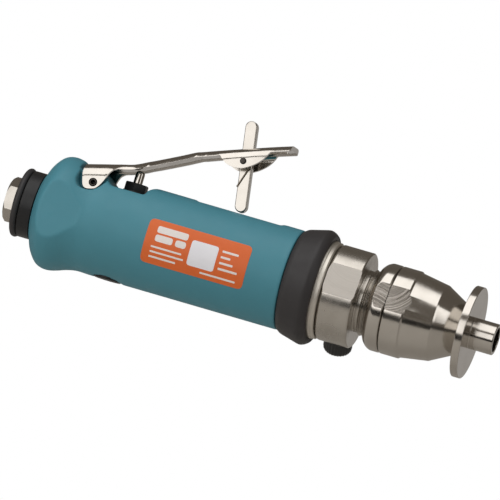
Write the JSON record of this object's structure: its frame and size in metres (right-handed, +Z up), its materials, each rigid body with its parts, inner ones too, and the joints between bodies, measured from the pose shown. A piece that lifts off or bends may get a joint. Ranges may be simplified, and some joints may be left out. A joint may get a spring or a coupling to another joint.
{
  "type": "air router",
  "caption": "Straight air router with a sprung throttle lever, lock-off bar, rotary vane motor, collet and an adjustable pilot nose.",
  "frame": {"origin": "middle of the tool's length in its middle plane, at the height of the lowest point of the widest ring", "axes": "+X along the spindle towards the pilot nose, +Z up towards the throttle lever"},
  "size_m": [0.225, 0.0516, 0.0876],
  "materials": {
    "teal_composite": "moulded glass-filled composite, satin",
    "black_rubber": "moulded rubber, matt",
    "black_plastic": "moulded nylon, satin black",
    "label_print": "printed polyester label, satin",
    "plated_steel": "ground and nickel plated steel, polished",
    "machined_steel": "turned and milled steel, fine machining marks",
    "bearing_steel": "ground bearing steel",
    "brass": "turned brass",
    "cast_iron": "machined cast iron",
    "felt": "pressed felt"
  },
  "bodies": {
    "router_body": {"housing": "teal_composite", "label": "label_print", "inlet_bushing": "machined_steel", "inlet_oring": "black_rubber", "inlet_screen": "brass", "rear_rim_ring": "black_rubber", "rear_collar": "black_plastic", "valve_gland": "black_plastic", "valve_seat": "brass", "valve_spring": "machined_steel", "lever_pin": "machined_steel", "rear_end_plate": "cast_iron", "wave_washer": "machined_steel", "motor_cylinder": "cast_iron", "front_end_plate": "cast_iron", "dowel_pin": "machined_steel", "rear_bearing_outer_race": "bearing_steel", "middle_bearing_outer_race": "bearing_steel", "nose_bearing_outer_race": "bearing_steel", "exhaust_ring": "black_rubber", "exhaust_silencer": "felt", "front_collar": "plated_steel", "nose_adapter": "machined_steel"},
    "rotor_and_spindle": {"rotor": "machined_steel", "vane_1": "black_plastic", "vane_2": "black_plastic", "vane_3": "black_plastic", "vane_4": "black_plastic", "vane_5": "black_plastic", "spindle": "plated_steel", "collet": "machined_steel", "collet_nut": "plated_steel", "rear_bearing_inner_race": "bearing_steel", "rear_bearing_balls": "bearing_steel", "middle_bearing_inner_race": "bearing_steel", "middle_bearing_balls": "bearing_steel", "nose_bearing_inner_race": "bearing_steel", "nose_bearing_balls": "bearing_steel"},
    "throttle": {"throttle_lever": "plated_steel", "lock_pin": "machined_steel"},
    "lock": {"lock_lever": "plated_steel", "lock_spring": "machined_steel"},
    "valve": {"valve_stem": "plated_steel", "valve_poppet": "brass"},
    "regulator": {"speed_regulator": "black_plastic"},
    "lock_ring": {"nose_lock_ring": "plated_steel"},
    "nose": {"nose_housing": "plated_steel", "pilot_guide": "plated_steel"},
    "button": {"lock_button_cap": "black_plastic", "lock_button_plunger": "machined_steel", "lock_button_spring": "machined_steel"}
  },
  "joints": [
    {"name": "throttle_lever_hinge", "type": "hinge", "parent": "router_body", "child": "throttle", "pos_m": [-0.07605, 0, 0.0421], "axis": [0, 1, 0], "range_deg": [0, 7], "stiffness_Nm_per_rad": 1.5, "springref_deg": -17.19},
    {"name": "lock_lever_hinge", "type": "hinge", "parent": "throttle", "child": "lock", "pos_m": [-0.0155, 0, 0.0693], "axis": [0, 1, 0], "range_deg": [0, 54]},
    {"name": "valve_stem_slide", "type": "slide", "parent": "router_body", "child": "valve", "axis": [0, 0, -1], "range_m": [0, 0.00238], "deforming": ["valve_spring"]},
    {"name": "spindle_spin", "type": "hinge", "parent": "router_body", "child": "rotor_and_spindle", "pos_m": [0, 0, 0.0258], "axis": [1, 0, 0], "continuous": true},
    {"name": "speed_regulator_turn", "type": "hinge", "parent": "router_body", "child": "regulator", "pos_m": [-0.0601, 0, 0.0078], "axis": [0, 0, -1], "range_deg": [-90, 90]},
    {"name": "nose_lock_ring_turn", "type": "hinge", "parent": "router_body", "child": "lock_ring", "pos_m": [0.0595, 0, 0.0258], "axis": [1, 0, 0], "continuous": true},
    {"name": "nose_depth_slide", "type": "slide", "parent": "router_body", "child": "nose", "axis": [1, 0, 0], "range_m": [0, 0.004]},
    {"name": "spindle_lock_button_slide", "type": "slide", "parent": "router_body", "child": "button", "axis": [0, -0.6018, 0.7986], "range_m": [0, 0.0025], "stiffness_N_per_m": 300, "springref_m": -0.004}
  ],
  "couplings": [
    {"joint": "lock_lever_hinge", "follows": "throttle_lever_hinge", "ratio": 7.7},
    {"joint": "valve_stem_slide", "follows": "throttle_lever_hinge", "m_per_rad": 0.0195}
  ]
}
